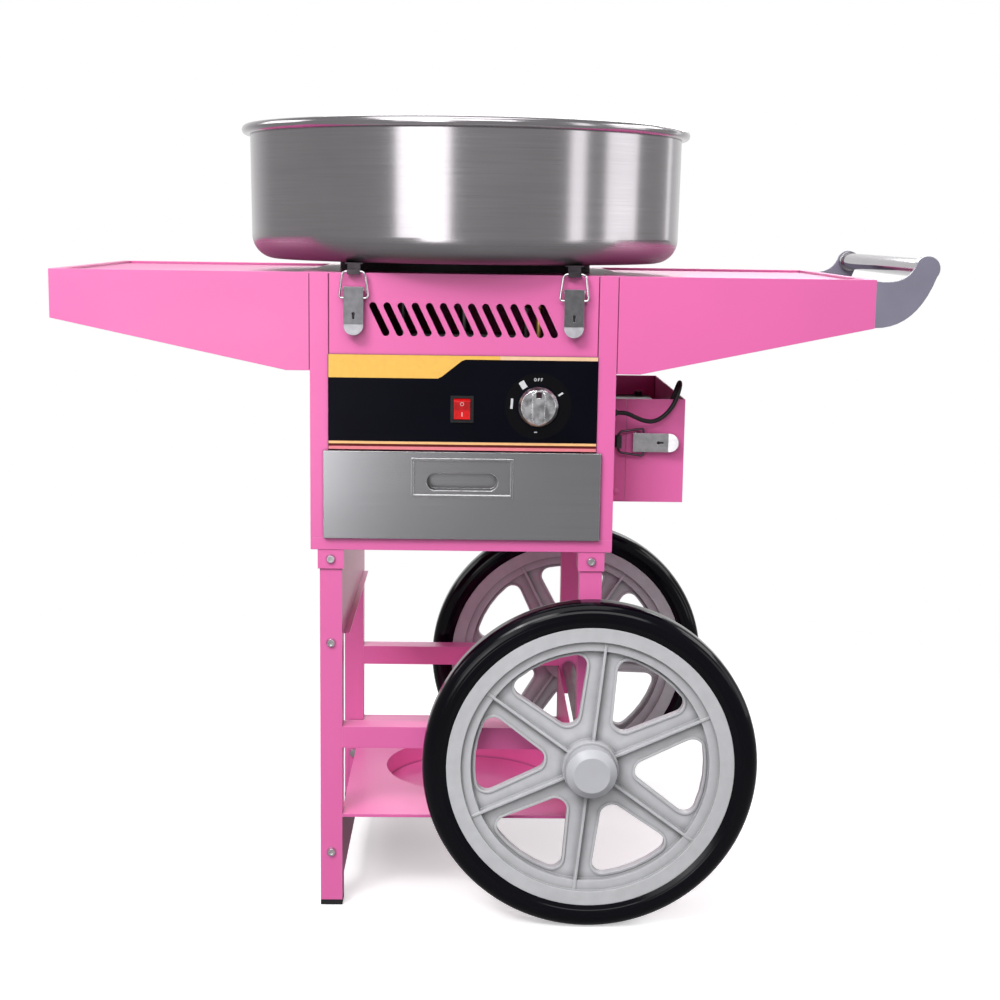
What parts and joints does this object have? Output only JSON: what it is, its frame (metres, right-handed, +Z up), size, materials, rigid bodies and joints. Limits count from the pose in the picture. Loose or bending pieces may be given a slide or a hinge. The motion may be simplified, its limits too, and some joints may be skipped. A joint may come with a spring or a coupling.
{
  "type": "cotton candy cart",
  "caption": "Pink cotton candy cart: gas floss machine with a stainless bowl, side trays, drawer, push handle, side box and two spoked wheels.",
  "frame": {"origin": "on the floor under the middle of the cart's overall outline, handle included", "axes": "+Z up; +X along the cart towards the push handle; the controls and the drawer face -Y"},
  "size_m": [0.972, 0.566, 0.892],
  "materials": {
    "pink_paint": "glossy powder coat",
    "grey_paint": "satin paint",
    "stainless": "bright rolled stainless",
    "plain_steel": "plain",
    "zinc": "bright zinc plate",
    "chrome": "polished",
    "aluminium": "machined",
    "brass": "plain",
    "wheel_grey": "silver-grey moulding",
    "tyre": "solid rubber",
    "black_plastic": "moulded",
    "fascia_black": "glossy printed sheet",
    "red_plastic": "moulded",
    "cable_black": "smooth sheath"
  },
  "bodies": {
    "cart": {"left_legs": "pink_paint", "right_legs": "pink_paint", "leg_sleeves": "pink_paint", "cross_rails": "pink_paint", "left_side_panel": "pink_paint", "shelf": "pink_paint", "foot_caps": "black_plastic", "axle": "plain_steel", "axle_fittings": "plain_steel", "bolts_and_screws": "zinc", "base_pan": "pink_paint", "body_shell": "pink_paint", "front_panel": "pink_paint", "rear_panel": "pink_paint", "top_plate": "pink_paint", "control_fascia": "fascia_black", "switch_bezel": "black_plastic", "gas_valve": "brass", "gas_pipe": "brass", "gas_inlet": "brass", "drawer_runners": "plain_steel", "bowl_seat": "black_plastic", "bowl": "stainless", "latch_bases": "zinc", "latch_catches": "zinc", "burner_ring": "brass", "bearing_housing": "aluminium", "motor_bracket": "plain_steel", "drive_motor": "plain_steel", "left_tray": "pink_paint", "right_tray": "pink_paint", "handle_plates": "grey_paint", "handle_tube": "chrome", "side_box": "pink_paint", "box_strip": "pink_paint", "battery": "black_plastic", "cord_gland": "black_plastic", "battery_lead": "cable_black"},
    "front_road_wheel": {"front_wheel": "wheel_grey", "front_tyre": "tyre", "front_hub_cap": "wheel_grey"},
    "rear_road_wheel": {"rear_wheel": "wheel_grey", "rear_tyre": "tyre", "rear_hub_cap": "wheel_grey"},
    "drawer": {"drawer_front": "stainless", "drawer_box": "stainless", "drawer_pull": "chrome"},
    "rocker": {"power_rocker": "red_plastic"},
    "knob": {"gas_knob": "chrome"},
    "left_lever": {"left_latch_lever": "zinc"},
    "left_bail": {"left_latch_bail": "zinc"},
    "right_lever": {"right_latch_lever": "zinc"},
    "right_bail": {"right_latch_bail": "zinc"},
    "box_lever": {"box_latch_lever": "zinc"},
    "box_bail": {"box_latch_bail": "zinc"},
    "spinner": {"spindle": "plain_steel", "spinner_head": "aluminium", "spinner_band": "aluminium", "spinner_lid": "aluminium"}
  },
  "joints": [
    {"name": "front_wheel_spin", "type": "hinge", "parent": "cart", "child": "front_road_wheel", "pos_m": [0.1115, -0.241, 0.187], "axis": [0, 1, 0], "continuous": true},
    {"name": "rear_wheel_spin", "type": "hinge", "parent": "cart", "child": "rear_road_wheel", "pos_m": [0.1115, 0.241, 0.187], "axis": [0, 1, 0], "continuous": true},
    {"name": "drawer_slide", "type": "slide", "parent": "cart", "child": "drawer", "axis": [0, -1, 0], "range_m": [0, 0.25]},
    {"name": "rocker_tilt", "type": "hinge", "parent": "cart", "child": "rocker", "pos_m": [-0.0355, -0.2, 0.5795], "axis": [-1, 0, 0], "range_deg": [0, 16]},
    {"name": "knob_turn", "type": "hinge", "parent": "cart", "child": "knob", "pos_m": [0.0485, -0.2, 0.5835], "axis": [0, -1, 0], "range_deg": [0, 180]},
    {"name": "left_latch_swing", "type": "hinge", "parent": "cart", "child": "left_lever", "pos_m": [-0.1545, -0.208, 0.709], "axis": [-1, 0, 0], "range_deg": [0, 90]},
    {"name": "left_bail_swing", "type": "hinge", "parent": "left_lever", "child": "left_bail", "pos_m": [-0.1545, -0.208, 0.7], "axis": [-1, 0, 0], "range_deg": [-67.5, 0]},
    {"name": "right_latch_swing", "type": "hinge", "parent": "cart", "child": "right_lever", "pos_m": [0.0855, -0.208, 0.709], "axis": [-1, 0, 0], "range_deg": [0, 90]},
    {"name": "right_bail_swing", "type": "hinge", "parent": "right_lever", "child": "right_bail", "pos_m": [0.0855, -0.208, 0.7], "axis": [-1, 0, 0], "range_deg": [-67.5, 0]},
    {"name": "box_latch_swing", "type": "hinge", "parent": "cart", "child": "box_lever", "pos_m": [0.1645, -0.128, 0.5358], "axis": [0, 0, -1], "range_deg": [0, 90]},
    {"name": "box_bail_swing", "type": "hinge", "parent": "box_lever", "child": "box_bail", "pos_m": [0.1735, -0.128, 0.5358], "axis": [0, 0, -1], "range_deg": [-67.5, 0]},
    {"name": "spinner_spin", "type": "hinge", "parent": "cart", "child": "spinner", "pos_m": [-0.0345, 0, 0.758], "axis": [0, 0, 1], "continuous": true}
  ],
  "couplings": [
    {"joint": "left_bail_swing", "follows": "left_latch_swing", "ratio": -0.75},
    {"joint": "right_bail_swing", "follows": "right_latch_swing", "ratio": -0.75},
    {"joint": "box_bail_swing", "follows": "box_latch_swing", "ratio": -0.75}
  ]
}
